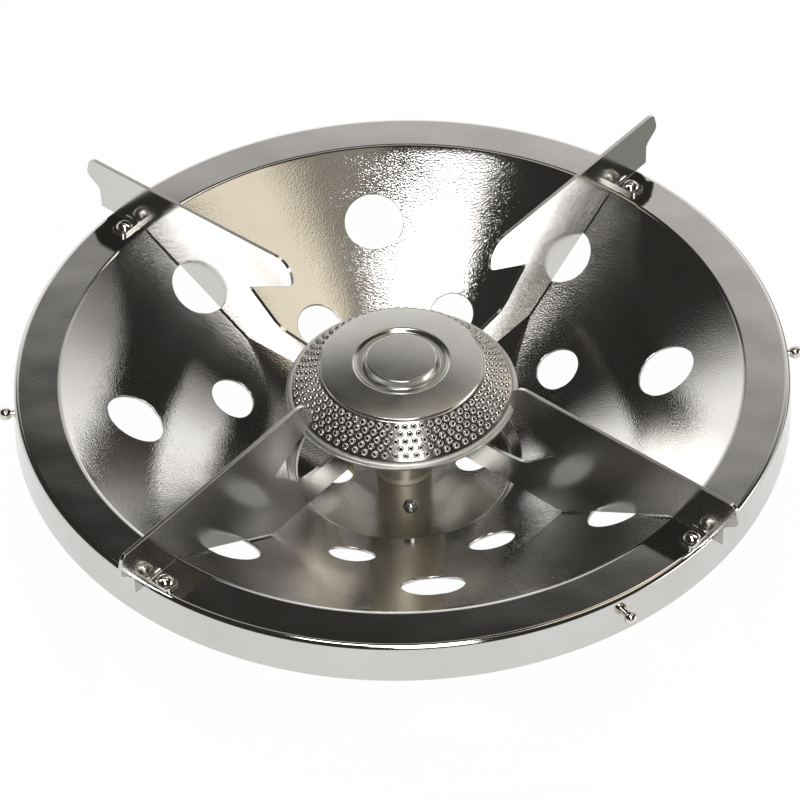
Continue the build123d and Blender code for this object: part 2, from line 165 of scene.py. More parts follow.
# Machined brass of the tap: warm yellow with slightly blurred reflections
machinedBrass = brightMetal("machinedBrass", {
    "colour": "#d2b878", "dull": "#bd9f5f", "polished": 0.14, "hazy": 0.26, "hazeMm": 9.0,
    "peelMm": 0.9, "peelDepthMm": 0.010, "waveMm": 7.0, "waveDepthMm": 0.02,
})
# Sintered bronze filter: a brown sponge of half-millimetre balls
sinteredBronze = brightMetal("sinteredBronze", {
    "colour": "#a67c48", "dull": "#7d5a33", "polished": 0.42, "hazy": 0.6, "hazeMm": 1.5,
    "peelMm": 0.5, "peelDepthMm": 0.12, "waveMm": 3.0, "waveDepthMm": 0.02,
})
# Black nitrile rubber, moulded: a dead black with a grey bloom
nitrileRubber = mouldedStuff("mouldedNitrileRubber", {
    "colour": "#161616", "dusty": "#232221", "smooth": 0.5, "rough": 0.72, "ior": 1.52,
    "grainMm": 0.6, "grainDepthMm": 0.02, "bloomMm": 6.0,
})
# Black phenolic knob, moulded: a dull sheen over a fine grain
phenolicPlastic = mouldedStuff("mouldedPhenolic", {
    "colour": "#181817", "dusty": "#2a2927", "smooth": 0.34, "rough": 0.5, "ior": 1.6,
    "grainMm": 0.8, "grainDepthMm": 0.03, "bloomMm": 12.0,
})
print("materials ready:", len(bpy.data.materials))


# Outline and mesh helpers, all in millimetres until the mesh is made

def roundCorners(points, radii, closed, steps=8):
    rounded = []
    count = len(points)
    for i, here in enumerate(points):
        radius = radii[i]
        if radius <= 0 or (not closed and i in (0, count - 1)):
            rounded.append(here)
            continue
        corner = Vector(here)
        before = (Vector(points[i - 1]) - corner).normalized()
        after = (Vector(points[(i + 1) % count]) - corner).normalized()
        half = before.angle(after) / 2
        reach = radius / tan(half)
        middle = corner + (before + after).normalized() * (radius / sin(half))
        first = corner + before * reach - middle
        last = corner + after * reach - middle
        sweep = first.angle_signed(last)
        for k in range(steps + 1):
            turned = first.copy()
            turned.rotate(Matrix.Rotation(-sweep * k / steps, 2))
            rounded.append(tuple(middle + turned))
    return rounded


def circle(r, z, radius, steps):
    turns = [2 * pi * k / steps for k in range(steps)]
    return [(r + radius * cos(t), z + radius * sin(t)) for t in turns]


# The offsets of a rounded edge from its two faces, from one end of the quarter to the other
def quarterRound(radius, steps):
    turns = [pi / 2 * k / steps for k in range(steps + 1)]
    return [(radius * (1 - cos(t)), radius * (1 - sin(t))) for t in turns]


def addMesh(name, verts, faces, material, slot, body="stove", replaced=(), normals=None, sharp=32.0):
    mesh = bpy.data.meshes.new(name)
    mesh.from_pydata([(x * mm, y * mm, z * mm) for x, y, z in verts], [], faces)
    mesh.validate()
    mesh.shade_smooth()
    if normals:
        mesh.normals_split_custom_set_from_vertices(normals)
    else:
        mesh.set_sharp_from_angle(angle=radians(sharp))
    piece = bpy.data.objects.new(name, mesh)
    bpy.context.scene.collection.objects.link(piece)
    mesh.materials.append(material)
    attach(piece, body)
    if replaced:
        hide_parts(*replaced)
    return piece


def spin(profile, segments, closed=True):
    turns = [2 * pi * i / segments for i in range(segments)]
    verts, rings, faces = [], [], []
    for r, z in profile:
        if r < 1e-6:    # a point on the axis serves the whole turn
            rings.append([len(verts)] * segments)
            verts.append((0.0, 0.0, z))
        else:
            rings.append([len(verts) + i for i in range(segments)])
            verts += [(r * cos(t), r * sin(t), z) for t in turns]
    pairs = list(zip(rings, rings[1:])) + ([(rings[-1], rings[0])] if closed else [])
    for low, high in pairs:
        for i in range(segments):
            j = (i + 1) % segments
            corners = [low[i], low[j], high[j], high[i]]
            face = [c for k, c in enumerate(corners) if c not in corners[:k]]
            if len(face) > 2:
                faces.append(face)
    return verts, faces


def joined(*parts):
    verts, faces = [], []
    for partVerts, partFaces in parts:
        start = len(verts)
        verts += partVerts
        faces += [[start + i for i in face] for face in partFaces]
    return verts, faces


def moved(part, matrix):
    verts, faces = part
    return [tuple(matrix @ Vector(v)) for v in verts], faces


def faceOut(face, verts, outward):
    a, b, c = (Vector(verts[face[i]]) for i in (0, 1, -1))
    return face if (b - a).cross(c - a).dot(outward) > 0 else face[::-1]


def fromHole(hole, angle, s, r):
    return hypot((angle - hole["angle"]) * r, s - hole["s"])    # along the sheet, to the hole's middle


# A sheet of revolution with punched holes: the profile runs along the upper skin, s is the way along it, and
# each hole has a lip profile of (radius, height) pairs that goes from the upper skin to the lower one
class PunchedSheet:
    nearShare, nearMm = 1.3, 1.0    # a row of the grid minds the holes that are this near
    clearShare, clearMm = 1.08, 0.15    # points of the grid stay this far off a hole's rim
    insideShare = 0.97    # a triangle with its middle inside this share of the rim lies in the hole
    sliver = 1e-5    # thinner triangles along the seam or an edge are dropped
    weld = 1e-7
    slopeStep = 0.01    # mm, the step that gives the sheet's slope at a lip

    def __init__(self, profile, thickness, columns, rowStep):
        self.points = [Vector(p) for p in profile]
        self.thickness = thickness
        self.columns = columns
        self.along = [0.0]
        for a, b in zip(self.points, self.points[1:]):
            self.along.append(self.along[-1] + (b - a).length)
        self.length = self.along[-1]
        self.across = []
        for i in range(len(self.points)):
            a = self.points[max(i - 1, 0)]
            b = self.points[min(i + 1, len(self.points) - 1)]
            run = (b - a).normalized()
            self.across.append(Vector((-run.y, run.x)))
        self.rows = []
        for a, b in zip(self.along, self.along[1:]):
            parts = max(1, round((b - a) / rowStep))
            self.rows += [a + (b - a) * k / parts for k in range(parts)]
        self.rows.append(self.length)
        self.reference = sum(p.x for p in self.points) / len(self.points)

    def at(self, s):
        i = 0
        while i < len(self.along) - 2 and s > self.along[i + 1]:
            i += 1
        t = (s - self.along[i]) / (self.along[i + 1] - self.along[i])
        skin = self.across[i].lerp(self.across[i + 1], t).normalized()
        return self.points[i].lerp(self.points[i + 1], t), skin

    def reach(self, radius):
        for i in range(len(self.points) - 1):
            a, b = self.points[i].x, self.points[i + 1].x
            if a <= radius <= b and b > a:
                return self.along[i] + (self.along[i + 1] - self.along[i]) * (radius - a) / (b - a)

    def lift(self, angle, s, height):
        place, skin = self.at(s)
        r, z = place.x + skin.x * height, place.y + skin.y * height
        return (r * cos(angle), r * sin(angle), z), Vector((skin.x * cos(angle), skin.x * sin(angle), skin.y))

    # The seam is where the flat sheet is cut and closed again; it has to lie clear of the holes
    def build(self, holes, seam=0.0):
        flat, edges = [], []
        for hole in holes:
            hole["angle"] = (hole["angle"] - seam) % (2 * pi)
            hole["rim"] = hole["lip"][0][0]
            start = len(flat)
            for k in range(hole["steps"]):
                turn = 2 * pi * k / hole["steps"]
                s = hole["s"] + hole["rim"] * sin(turn)
                flat.append((hole["angle"] + hole["rim"] * cos(turn) / self.at(s)[0].x, s))
                edges.append((start + k, start + (k + 1) % hole["steps"]))
        step = 2 * pi / self.columns
        for s in self.rows:
            r = self.at(s)[0].x
            near = [h for h in holes if abs(s - h["s"]) < h["rim"] * self.nearShare + self.nearMm]
            for i in range(self.columns + 1):
                angle = i * step
                room = [fromHole(h, angle, s, r) - h["rim"] * self.clearShare for h in near]
                if not room or min(room) > self.clearMm:
                    flat.append((angle, s))
        scaled = [Vector((a * self.reference, s)) for a, s in flat]
        spots, _, triangles, _, _, _ = delaunay_2d_cdt(scaled, edges, [], 0, self.weld)
        spots = [(p.x / self.reference, p.y) for p in spots]
        verts, normals, faces = [], [], []
        for height, side in ((0.0, 1), (-self.thickness, -1)):
            for a, s in spots:
                place, skin = self.lift(a, s, height)
                verts.append(place)
                normals.append(skin * side)
        for tri in triangles:
            angles, lengths = zip(*(spots[i] for i in tri))
            if min(max(angles) - min(angles), max(lengths) - min(lengths)) < self.sliver:
                continue
            angle, s = sum(angles) / 3, sum(lengths) / 3
            r = self.at(s)[0].x
            near = [h for h in holes if abs(s - h["s"]) < h["rim"]]
            if all(fromHole(h, angle, s, r) > h["rim"] * self.insideShare for h in near):
                upper = faceOut(list(tri), verts, normals[tri[0]])
                faces.append(upper)
                faces.append([i + len(spots) for i in reversed(upper)])
        for hole in holes:
            self.addLip(hole, verts, normals, faces)
        for s in (0.0, self.length):
            self.addEdge(s, verts, normals, faces)
        turned = Matrix.Rotation(seam, 3, "Z")
        return [tuple(turned @ Vector(v)) for v in verts], faces, [turned @ n for n in normals]

    def addLip(self, hole, verts, normals, faces):
        lip, steps, start = hole["lip"], hole["steps"], len(verts)
        for j, (rho, height) in enumerate(lip):
            before, after = lip[max(j - 1, 0)], lip[min(j + 1, len(lip) - 1)]
            run = Vector((after[0] - before[0], after[1] - before[1])).normalized()
            out, up = run.y, -run.x
            if j == 0:
                out, up = 0.0, 1.0
            if j == len(lip) - 1:
                out, up = 0.0, -1.0
            for k in range(steps):
                turn = 2 * pi * k / steps
                s = hole["s"] + rho * sin(turn)
                angle = hole["angle"] + rho * cos(turn) / self.at(s)[0].x
                place, skin = self.lift(angle, s, height)
                ahead, _ = self.lift(angle, s + self.slopeStep, height)
                slope = (Vector(ahead) - Vector(place)).normalized()
                sideways = Vector((-sin(angle), cos(angle), 0.0))
                outward = sideways * cos(turn) + slope * sin(turn)
                verts.append(place)
                normals.append((outward * out + skin * up).normalized())
        for j in range(len(lip) - 1):
            upper, lower = start + j * steps, start + (j + 1) * steps
            for k in range(steps):
                m = (k + 1) % steps
                face = [upper + k, upper + m, lower + m, lower + k]
                faces.append(faceOut(face, verts, normals[face[0]] + normals[face[2]]))

    def addEdge(self, s, verts, normals, faces):
        start = len(verts)
        along = self.points[1] - self.points[0] if s == 0 else self.points[-1] - self.points[-2]
        out = along.normalized() * (-1 if s == 0 else 1)
        for height in (0.0, -self.thickness):
            for i in range(self.columns):
                angle = 2 * pi * i / self.columns
                place, _ = self.lift(angle, s, height)
                verts.append(place)
                normals.append(Vector((out.x * cos(angle), out.x * sin(angle), out.y)))
        for i in range(self.columns):
            j = (i + 1) % self.columns
            face = [start + i, start + j, start + self.columns + j, start + self.columns + i]
            faces.append(faceOut(face, verts, normals[face[0]]))


def roundedLip(radius, thickness, edge):
    bow = quarterRound(edge, 2)
    upper = [(radius + out, -down) for out, down in reversed(bow)]
    return upper + [(radius + out, up - thickness) for out, up in bow]


# Bowl: one pressing with a flange, a turned-down skirt, a conical wall and a stepped well
bowlSpec = {
    "rimRadius": 100.0, "creaseRadius": 88.3, "skirtHeight": 10.8, "skirtFlare": 0.8, "sheet": 0.8,
    "wellEdge": (31.0, 32.9), "wellFloor": (28.6, 36.5), "bore": 6.2, "wellCorner": 1.2,
    "creaseCorner": 2.4, "rimCorner": 1.6, "hem": 0.35, "hemSteps": 12, "columns": 216, "rowStep": 5.0,
    "holePairs": 8, "largeRing": 69.4, "largeRadius": 8.0, "smallRing": 47.0, "smallRadius": 6.0,
    "wallHoleSteps": 40, "floorRing": 18.0, "floorRadius": 4.5, "floorHoleSteps": 28, "holeEdge": 0.22,
    "seam": -33.75,    # degrees, clear of every hole
}


def buildBowl(spec):
    skirtFoot, skirtRadius = rimZ - spec["skirtHeight"], spec["rimRadius"] + spec["skirtFlare"]
    (edgeRadius, edgeDepth), (floorRadius, floorDepth) = spec["wellEdge"], spec["wellFloor"]
    profile = roundCorners(
        [(spec["bore"], rimZ - floorDepth), (floorRadius, rimZ - floorDepth), (edgeRadius, rimZ - edgeDepth),
         (spec["creaseRadius"], rimZ), (spec["rimRadius"], rimZ), (skirtRadius, skirtFoot)],
        [0, spec["wellCorner"], spec["wellCorner"], spec["creaseCorner"], spec["rimCorner"], 0], False)
    sheet = PunchedSheet(profile, spec["sheet"], spec["columns"], spec["rowStep"])
    pitch = 360 / spec["holePairs"]
    spots = []
    for i in range(spec["holePairs"]):
        spots.append((pitch * i, "largeRing", "largeRadius", "wallHoleSteps"))
        spots.append((pitch * i + pitch / 2, "smallRing", "smallRadius", "wallHoleSteps"))
    spots += [(turn, "floorRing", "floorRadius", "floorHoleSteps") for turn in (0, 180)]
    holes = [{"angle": radians(turn), "s": sheet.reach(spec[ring]), "steps": spec[steps],
              "lip": roundedLip(spec[radius], spec["sheet"], spec["holeEdge"])}
             for turn, ring, radius, steps in spots]
    verts, faces, normals = sheet.build(holes, radians(spec["seam"]))
    hemRadius, hemZ = skirtRadius - spec["sheet"] - spec["hem"], skirtFoot + spec["hem"]
    hem = spin(circle(hemRadius, hemZ, spec["hem"], spec["hemSteps"]), spec["columns"])
    for x, y, z in hem[0]:
        middle = Vector((x, y, 0)).normalized() * hemRadius + Vector((0, 0, hemZ))
        normals.append((Vector((x, y, z)) - middle).normalized())
    return *joined((verts, faces), hem), normals


bowlVerts, bowlFaces, bowlNormals = buildBowl(bowlSpec)
addMesh("bowlPressing", bowlVerts, bowlFaces, pressedChrome, "plated_bowl", replaced=["bowl"],
        normals=bowlNormals)
print("bowl:", len(bowlFaces), "faces")


# Pot supports: stamped blades with a horn, a finger, a leg and two ears bent on to the flange; the outline is
# (way out, height over the rim), and its lower edge stays 0.6 mm off the bowl's wall
bladeSpec = {
    "outline": [(7.5, -19.95), (52.35, -19.95), (87.1, 0.0), (103.6, 0.0), (103.6, 6.2), (108.2, 9.4),
                (106.6, 15.0), (37.2, 15.0), (35.9, 7.4), (51.5, -1.0), (41.5, -10.2), (32.5, -11.4),
                (7.5, -11.5)],
    "rounds": [0, 0, 0, 0, 2.2, 2.2, 2.2, 5.5, 2.6, 0.8, 8.0, 8.0, 0], "roundSteps": 10,
    "sheet": 1.0, "edge": 0.16,
    "places": {    # degrees round the bowl, and the hand of the ears
        "pot_support_1": (43.8, 1), "pot_support_2": (134.9, -1),
        "pot_support_3": (224.7, 1), "pot_support_4": (313.5, -1),
    },
    "ears": [(96.6, 1), (92.2, -1)], "earLength": 4.4, "earReach": 7.0, "earRound": 1.4, "earSteps": 5,
    "earHole": 3.9, "bend": 0.9, "bendSteps": 6, "bendSink": 0.2,
}


def plate(outline, low, high):
    count = len(outline)
    verts = [(x, y, low) for x, y in outline] + [(x, y, high) for x, y in outline]
    faces = [list(reversed(range(count))), list(range(count, 2 * count))]
    faces += [[i, (i + 1) % count, count + (i + 1) % count, count + i] for i in range(count)]
    return verts, faces


def softenEdges(piece, width, angle=40.0):
    bevel = piece.modifiers.new("edge", "BEVEL")
    bevel.width = width * mm
    bevel.segments = 2
    bevel.limit_method = "ANGLE"
    bevel.angle_limit = radians(angle)
    bevel.harden_normals = True
    shaped = bpy.data.meshes.new_from_object(piece.evaluated_get(bpy.context.evaluated_depsgraph_get()))
    shaped.name = piece.data.name
    piece.modifiers.clear()
    piece.data = shaped


def buildBlade(spec, hand):
    sheet, half = spec["sheet"], spec["earLength"] / 2
    toRim = Matrix.Translation((0, 0, rimZ))
    outline = roundCorners(spec["outline"], spec["rounds"], True, spec["roundSteps"])
    parts = [moved(plate(outline, -sheet / 2, sheet / 2), toRim @ Matrix.Rotation(radians(90), 4, "X"))]
    root = sheet / 2 - spec["bendSink"]
    bend = [(root, sheet - spec["bendSink"]), (sheet / 2 + spec["bend"], sheet - spec["bendSink"])]
    bend += [(sheet / 2 + out, sheet + up) for up, out in quarterRound(spec["bend"], spec["bendSteps"])]
    bend.append((root, sheet + spec["bend"]))
    for middle, side in [(m, s * hand) for m, s in spec["ears"]]:
        reach = side * spec["earReach"]
        tab = [(middle - half, 0.0), (middle + half, 0.0), (middle + half, reach), (middle - half, reach)]
        strip = [(side * y, z) for y, z in bend]
        if side < 0:
            tab.reverse()
            strip.reverse()
        rounds = [spec["earRound"] if y else 0 for _, y in tab]
        parts.append(moved(plate(roundCorners(tab, rounds, True, spec["earSteps"]), 0.0, sheet), toRim))
        across = Matrix(((0, 0, 1, middle), (1, 0, 0, 0), (0, 1, 0, rimZ), (0, 0, 0, 1)))
        parts.append(moved(plate(strip, -half, half), across))
    return joined(*parts)


for nodeName, (turn, hand) in bladeSpec["places"].items():
    spun = moved(buildBlade(bladeSpec, hand), Matrix.Rotation(radians(turn), 4, "Z"))
    blade = addMesh("blade_" + nodeName, *spun, stampedChrome, "plated_blade", replaced=[nodeName])
    softenEdges(blade, bladeSpec["edge"])
print("pot supports placed")


# Rivets: a domed head, a shank and a spread tail; those in the well have higher heads
rivetSpec = {
    "shank": 1.2, "head": 2.2, "headRise": 1.5, "headFoot": 0.96, "headEdge": 0.08, "crownSteps": 8,
    "tail": 1.9, "tailRise": 0.8, "tailFlat": 0.8, "tailEdge": 0.7, "segments": 28,
    "low": rimZ - bowlSpec["sheet"], "grip": bowlSpec["sheet"] + bladeSpec["sheet"],
}
wellRivetSpec = {
    **rivetSpec, "head": 2.0, "headRise": 2.0, "low": 20.5, "grip": 3.0,
    "ring": 15.5, "angles": (-90, 30, 150),
}


def rivetsAt(spec, spots):
    head, rise, grip = spec["head"], spec["headRise"], spec["grip"]
    tail, tailFoot = spec["tail"], -spec["tailRise"]
    ball = (head ** 2 + rise ** 2) / (2 * rise)
    profile = [(0.0, tailFoot), (tail * spec["tailFlat"], tailFoot), (tail, tailFoot * spec["tailEdge"]),
               (tail, 0.0), (spec["shank"], 0.0), (spec["shank"], grip), (head * spec["headFoot"], grip),
               (head, grip + spec["headEdge"])]
    for k in range(1, spec["crownSteps"] + 1):
        r = head * (1 - k / spec["crownSteps"])
        profile.append((r, grip + rise - ball + sqrt(ball ** 2 - r ** 2)))
    one = spin(profile, spec["segments"], closed=False)
    return joined(*[moved(one, Matrix.Translation((x, y, spec["low"]))) for x, y in spots])


earSpots = []
for turn, hand in bladeSpec["places"].values():
    for middle, side in bladeSpec["ears"]:
        spot = Matrix.Rotation(radians(turn), 2) @ Vector((middle, side * hand * bladeSpec["earHole"]))
        earSpots.append(tuple(spot))
addMesh("earRivets", *rivetsAt(rivetSpec, earSpots), headedChrome, "plated_rivet",
        replaced=["support_rivets"])
wellSpots = [(wellRivetSpec["ring"] * cos(radians(a)), wellRivetSpec["ring"] * sin(radians(a)))
             for a in wellRivetSpec["angles"]]
addMesh("wellRivets", *rivetsAt(wellRivetSpec, wellSpots), satinSteel, "plated_rivet",
        replaced=["floor_rivets"])


# Studs on the skirt: a short neck with a ball head
studSpec = {
    "angles": (180.0, -2.0, -63.6), "drop": 5.2, "inner": 99.0, "neck": 0.9, "neckEnd": 2.8, "ball": 1.7,
    "ballStart": 0.577, "ballSteps": 14, "tail": 1.7, "tailRise": 0.8, "segments": 28,
}


def buildStuds(spec):
    profile = [(0.0, -spec["tailRise"]), (spec["tail"], -spec["tailRise"]), (spec["tail"], 0.0),
               (spec["neck"], 0.0)]
    middle = spec["neckEnd"] + spec["ball"] / 2
    for k in range(spec["ballSteps"]):
        turn = (pi - spec["ballStart"]) * (1 - k / spec["ballSteps"])
        profile.append((spec["ball"] * sin(turn), middle + spec["ball"] * cos(turn)))
    profile.append((0.0, middle + spec["ball"]))
    one = spin(profile, spec["segments"], closed=False)
    place = Matrix.Translation((spec["inner"], 0, rimZ - spec["drop"])) @ Matrix.Rotation(radians(90), 4, "Y")
    return joined(*[moved(one, Matrix.Rotation(radians(a), 4, "Z") @ place) for a in spec["angles"]])


addMesh("skirtStuds", *buildStuds(studSpec), headedChrome, "plated_rivet", replaced=["rim_studs"])
print("rivets and studs set")


# Burner cap: a drawn steel disc with a groove round its raised middle; heights are over the rim
capSpec = {
    "skin": [(0.0, 2.2), (9.1, 2.2), (10.0, 0.2), (11.6, 0.2), (12.5, 1.1), (21.0, 0.25), (21.3, -0.2)],
    "rounds": [0, 0.5, 0.45, 0.45, 0.8, 0.4, 0], "roundSteps": 7,
    "under": [(19.15, -0.2), (19.15, -2.2), (18.15, -2.2), (18.15, -0.8), (0.0, -0.8)], "segments": 144,
}
capSkin = roundCorners(capSpec["skin"], capSpec["rounds"], False, capSpec["roundSteps"])
capProfile = [(r, rimZ + z) for r, z in reversed(capSkin + capSpec["under"])]
addMesh("drawnCap", *spin(capProfile, capSpec["segments"]), satinSteel, "satin_steel",
        replaced=["burner_cap"])


# Flame ring: a cone punched with staggered rows of small raised jets
ringSpec = {
    "line": [(19.2, -0.2), (21.6, -0.2), (28.5, -7.6)], "lipRound": 0.5, "lipSteps": 6, "sheet": 0.8,
    "rows": 5, "count": 64, "first": 0.13, "last": 0.86, "offset": 0.25, "stagger": 0.5,
    "columns": 192, "rowStep": 2.5, "jetSteps": 12,
    "jet": [(0.94, 0.0), (0.86, 0.2), (0.72, 0.4), (0.54, 0.5), (0.4, 0.46), (0.33, 0.3), (0.32, -0.7),
            (0.82, -0.8)],
}


def buildFlameRing(spec):
    line = roundCorners(spec["line"], [0, spec["lipRound"], 0], False, spec["lipSteps"])
    sheet = PunchedSheet([(r, rimZ + z) for r, z in line], spec["sheet"], spec["columns"], spec["rowStep"])
    top = sheet.reach(spec["line"][1][0])
    holes = []
    for row in range(spec["rows"]):
        share = spec["first"] + (spec["last"] - spec["first"]) * row / (spec["rows"] - 1)
        for i in range(spec["count"]):
            angle = 2 * pi * (i + spec["offset"] + spec["stagger"] * (row % 2)) / spec["count"]
            holes.append({"angle": angle, "s": top + (sheet.length - top) * share,
                          "steps": spec["jetSteps"], "lip": spec["jet"]})
    return sheet.build(holes)


ringVerts, ringFaces, ringNormals = buildFlameRing(ringSpec)
addMesh("punchedFlameRing", ringVerts, ringFaces, punchedSteel, "punched_steel", replaced=["flame_ring"],
        normals=ringNormals)
print("flame ring:", len(ringFaces), "faces")


# Burner cup: a pressed dish with a rolled bead that closes on the flame ring
cupSpec = {
    "line": [(7.25, -11.2), (21.0, -11.2), (24.0, -10.6), (29.05, -8.7)], "round": 2.0, "roundSteps": 6,
    "sheet": 0.8, "bead": 1.1, "beadSteps": 20, "segments": 144,
}


def buildCup(spec):
    upper = roundCorners(spec["line"], [0, spec["round"], spec["round"], 0], False, spec["roundSteps"])
    lower = []
    for i in range(len(upper)):
        a, b = Vector(upper[max(i - 1, 0)]), Vector(upper[min(i + 1, len(upper) - 1)])
        run = (b - a).normalized()
        lower.append((upper[i][0] - run.y * spec["sheet"], upper[i][1] + run.x * spec["sheet"]))
    dish = [(r, rimZ + z) for r, z in upper + lower[::-1]]
    r, z = spec["line"][-1]
    bead = circle(r, rimZ + z, spec["bead"], spec["beadSteps"])
    return joined(spin(dish, spec["segments"]), spin(bead, spec["segments"]))


addMesh("pressedCup", *buildCup(cupSpec), dullZinc, "punched_steel", replaced=["burner_cup"])


# Mixing tube: drawn brass with two air holes, a flange over the cup's floor and a slightly spread foot
tubeSpec = {
    "line": [(9.4, 49.62), (7.2, 49.62), (7.2, 24.5), (7.8, 23.55)], "rounds": [0, 0.4, 0.6, 0],
    "roundSteps": 5, "wall": 1.0, "columns": 96, "rowStep": 3.0,
    "airRadius": 2.5, "airHeight": 32.5, "airSteps": 28, "holeEdge": 0.2,
}


def buildTube(spec):
    line = roundCorners(spec["line"], spec["rounds"], False, spec["roundSteps"])
    sheet = PunchedSheet(line, spec["wall"], spec["columns"], spec["rowStep"])
    (bendRadius, bendZ), (footRadius, footZ) = spec["line"][2:]
    down = sheet.length - hypot(footRadius - bendRadius, bendZ - footZ) - (spec["airHeight"] - bendZ)
    lip = roundedLip(spec["airRadius"], spec["wall"], spec["holeEdge"])
    holes = [{"angle": angle, "s": down, "steps": spec["airSteps"], "lip": lip} for angle in (0.0, pi)]
    return sheet.build(holes, pi / 2)


tubeVerts, tubeFaces, tubeNormals = buildTube(tubeSpec)
addMesh("drawnTube", tubeVerts, tubeFaces, heatedBrass, "tube_brass", replaced=["mixing_tube"],
        normals=tubeNormals)
print("burner built")


# Tap pieces: each is a stack of rings along its own axis, from the lower inner edge round to the upper one
ringSteps = 96
spindleHeight = 14.3    # mm, the spindle's axis above the cylinder seat; it runs along +Y
hexTurned = 0.97    # the turned-off round on a hexagon's faces, as a share of its flats


def ringStack(rings):
    count = len(rings[0])
    verts = [v for ring in rings for v in ring]
    faces = []
    for a in range(len(rings)):
        low, high = a * count, (a + 1) % len(rings) * count
        faces += [[low + i, low + (i + 1) % count, high + (i + 1) % count, high + i] for i in range(count)]
    return verts, faces


def shapedRing(radiusAt, heightAt):
    turns = [2 * pi * i / ringSteps for i in range(ringSteps)]
    return [(radiusAt(t) * cos(t), radiusAt(t) * sin(t), heightAt(t)) for t in turns]


def evenRings(*places):
    return [shapedRing(lambda t: radius, lambda t: z) for radius, z in places]


# A hexagon with its corners turned off at 30 degrees on both faces
def hexRings(flat, low, high):
    turned = flat / 2 * hexTurned

    def corner(t):
        return flat / 2 / cos(t % (pi / 3) - pi / 6)

    def drop(t):
        return (corner(t) - turned) * tan(radians(30))

    sides = [shapedRing(corner, lambda t: low + drop(t)), shapedRing(corner, lambda t: high - drop(t))]
    return evenRings((turned, low)) + sides + evenRings((turned, high))


# Connector to the gas cylinder: a hexagon over a threaded spigot with an opening nose
connectorSpec = {
    "hex": 19.0, "low": 1.6, "high": 5.6, "length": 11.0, "chamfer": 1.0, "edge": 0.4,
    "root": 7.2, "depth": 0.8, "pitch": 1.5, "levels": 70, "threadStart": 0.05, "threadRun": 10.5,
    "flankSlope": 2.5, "rootShare": 0.1, "relief": 0.3, "nose": 2.6, "noseLength": 1.5, "bore": 1.5,
    "stub": 5.6, "stubTop": 9.6, "pocket": 3.45, "pocketDepth": 1.4,
}


def buildConnector(spec):
    foot, tip, edge = -spec["length"], -spec["length"] - spec["noseLength"], spec["edge"]
    rings = evenRings((spec["bore"], tip), (spec["nose"] - edge, tip), (spec["nose"], tip + edge),
                      (spec["nose"], foot), (spec["root"] - edge, foot))
    crest = spec["root"] + spec["depth"]
    for k in range(spec["levels"] + 1):
        z = foot + spec["threadStart"] + spec["threadRun"] * k / spec["levels"]
        limit = min(crest - spec["chamfer"] + (z - foot), crest)

        def thread(t):
            phase = (z / spec["pitch"] - t / (2 * pi)) % 1.0
            flank = (0.5 - abs(phase - 0.5)) * spec["flankSlope"] - spec["rootShare"]
            return min(spec["root"] + spec["depth"] * min(max(flank, 0.0), 1.0), limit)

        rings.append(shapedRing(thread, lambda t: z))
    rings += evenRings((spec["root"], -spec["relief"]), (spec["root"], spec["low"]))
    rings += hexRings(spec["hex"], spec["low"], spec["high"])
    pocketFloor = spec["stubTop"] - spec["pocketDepth"]
    rings += evenRings((spec["stub"], spec["high"]), (spec["stub"], spec["stubTop"]),
                       (spec["pocket"], spec["stubTop"]), (spec["pocket"], pocketFloor),
                       (spec["bore"], pocketFloor))
    return ringStack(rings)


addMesh("threadedConnector", *buildConnector(connectorSpec), machinedBrass, "tap_brass",
        replaced=["cylinder_connector"])


# Seal between the connector and the cylinder: a moulded ring with rounded edges
sealSpec = {"inner": 7.25, "outer": 10.25, "height": 1.6, "round": 0.4, "roundSteps": 5, "segments": 96}
sealOutline = [(sealSpec["inner"], 0.0), (sealSpec["outer"], 0.0), (sealSpec["outer"], sealSpec["height"]),
               (sealSpec["inner"], sealSpec["height"])]
sealProfile = roundCorners(sealOutline, [sealSpec["round"]] * 4, True, sealSpec["roundSteps"])
addMesh("mouldedSeal", *spin(sealProfile, sealSpec["segments"]), nitrileRubber, "black_rubber",
        replaced=["cylinder_seal"], sharp=60.0)


# Gland nut round the spindle
glandSpec = {
    "hex": 14.0, "start": 14.0, "face": 20.0, "end": 25.0, "stub": 5.6, "bore": 2.56, "edge": 0.4,
    "chamber": 3.085, "chamberEnd": 18.5,
}


def buildGland(spec):
    rings = evenRings((spec["chamber"], spec["start"]), (spec["stub"], spec["start"]),
                      (spec["stub"], spec["face"]))
    rings += hexRings(spec["hex"], spec["face"], spec["end"])
    rings += evenRings((spec["bore"] + spec["edge"], spec["end"]), (spec["bore"], spec["end"] - spec["edge"]),
                       (spec["bore"], spec["chamberEnd"]), (spec["chamber"], spec["chamberEnd"]))
    return ringStack(rings)


alongSpindle = Matrix.Translation((0, 0, spindleHeight)) @ Matrix.Rotation(radians(-90), 4, "X")
addMesh("glandHexagon", *moved(buildGland(glandSpec), alongSpindle), machinedBrass, "tap_brass",
        replaced=["gland_nut"])


# Knob: a fluted grip on a collar, with a recess for its screw
knobSpec = {
    "start": 27.0, "grip": 31.0, "end": 44.2, "collar": 7.0, "collarEdge": 0.4, "radius": 11.26,
    "flutes": 12, "fluteRadius": 2.6, "fluteDepth": 1.0, "backRound": 0.8, "backSteps": 2,
    "endRound": 1.5, "endSteps": 4, "bore": 2.55, "boreEnd": 40.0, "screw": 1.25, "recess": 2.5,
    "recessEdge": 0.3, "seat": 42.7,
}


